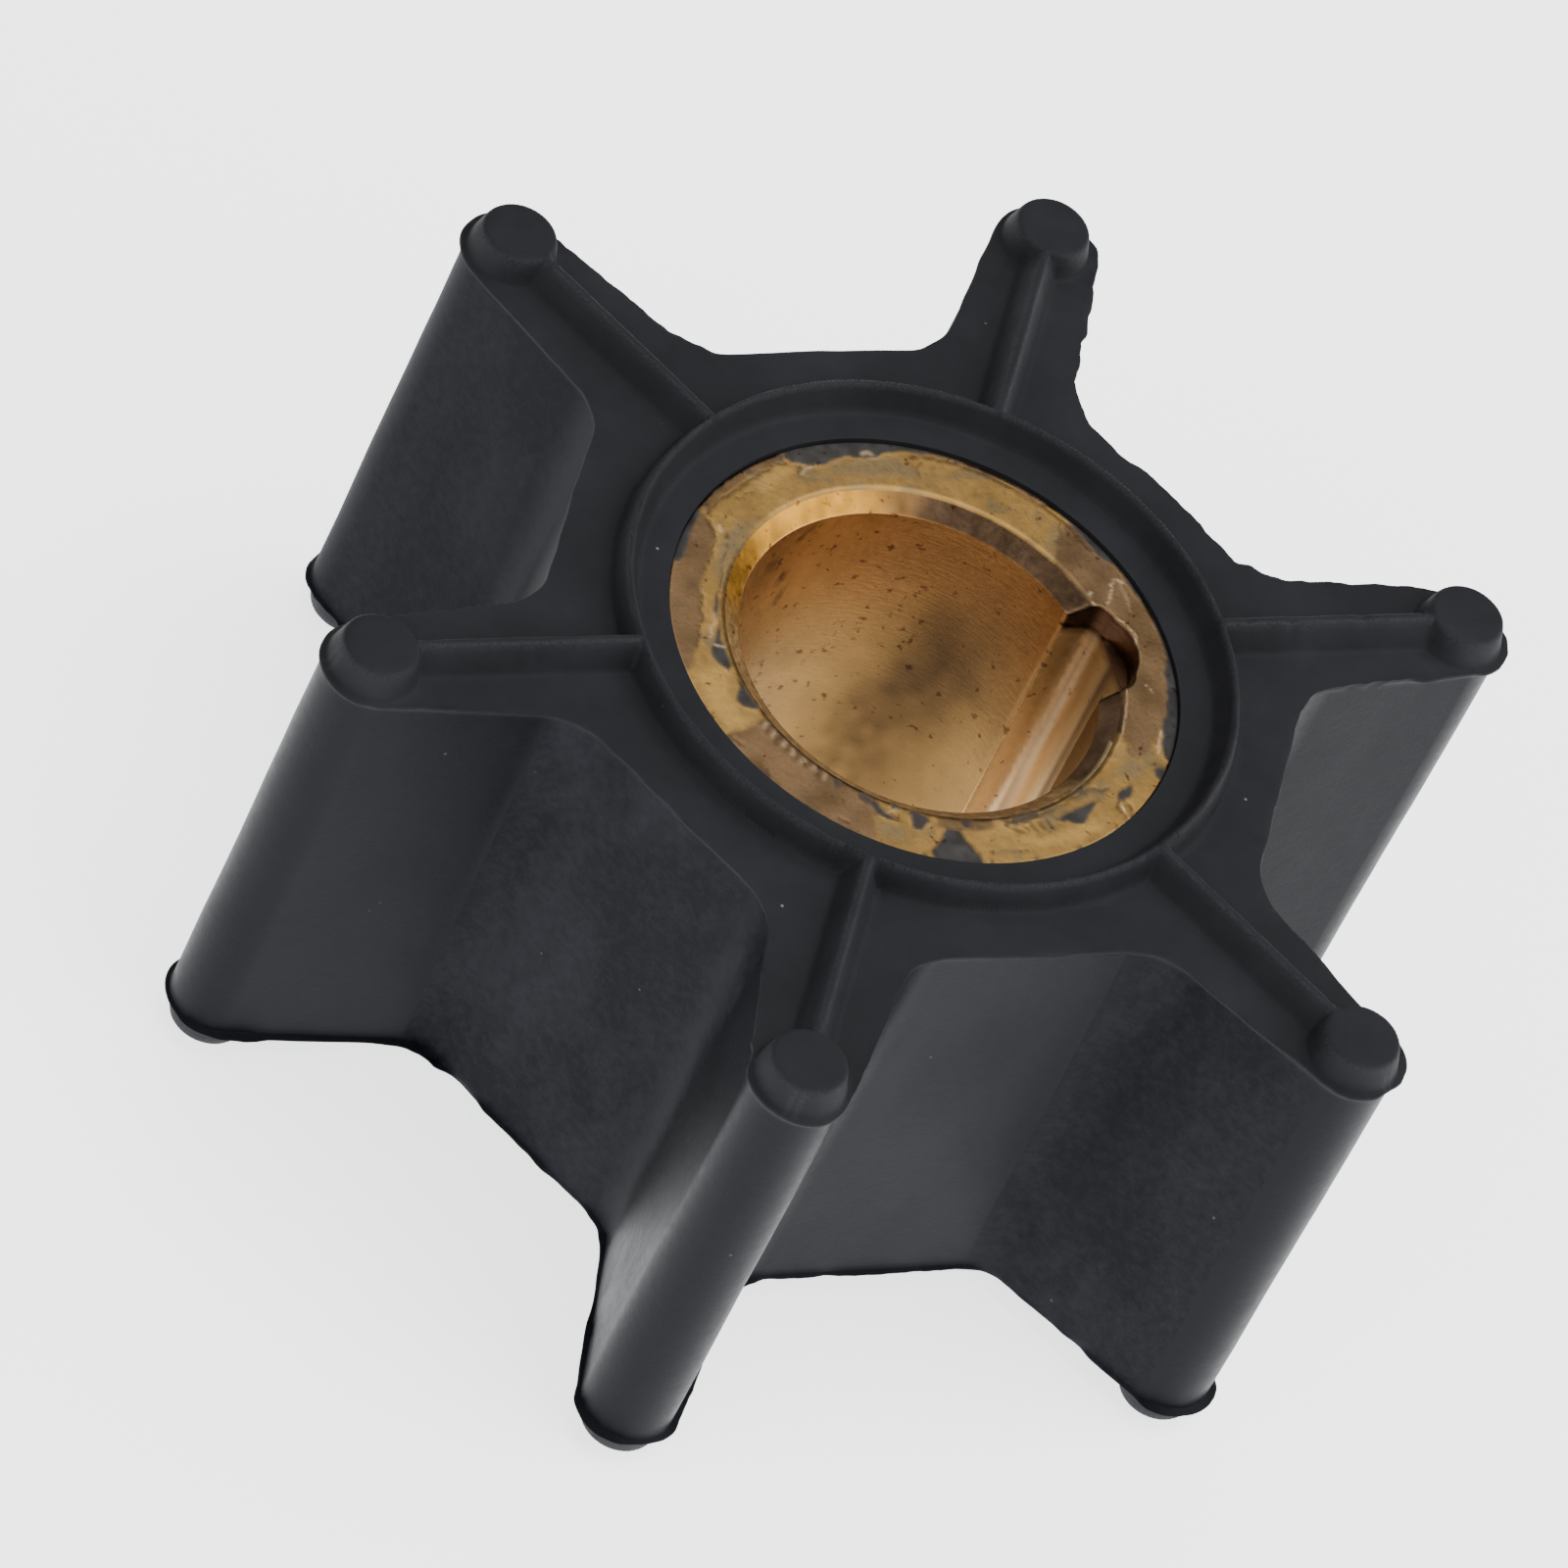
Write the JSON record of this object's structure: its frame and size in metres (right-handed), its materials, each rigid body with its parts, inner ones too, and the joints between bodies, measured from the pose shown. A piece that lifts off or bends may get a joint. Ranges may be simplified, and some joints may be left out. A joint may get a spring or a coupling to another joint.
{
  "type": "rubber pump impeller",
  "caption": "Flexible-vane impeller for a raw-water pump: rubber hub and straight vanes with sealing ribs on both faces, moulded round a brass bush with a keyway.",
  "frame": {"origin": "middle of the underside, on the plane of the lower sealing edges, on the shaft axis", "axes": "+Z along the shaft, out of the end that has the keyway's run-in pocket; +X through the vane beside the keyway"},
  "size_m": [0.0518, 0.0454, 0.024],
  "materials": {
    "rubber": "matt moulded black rubber",
    "brass": "turned brass, dull and stained"
  },
  "bodies": {
    "root": {"rubber_vane_body": "rubber", "brass_bush": "brass"}
  },
  "joints": []
}
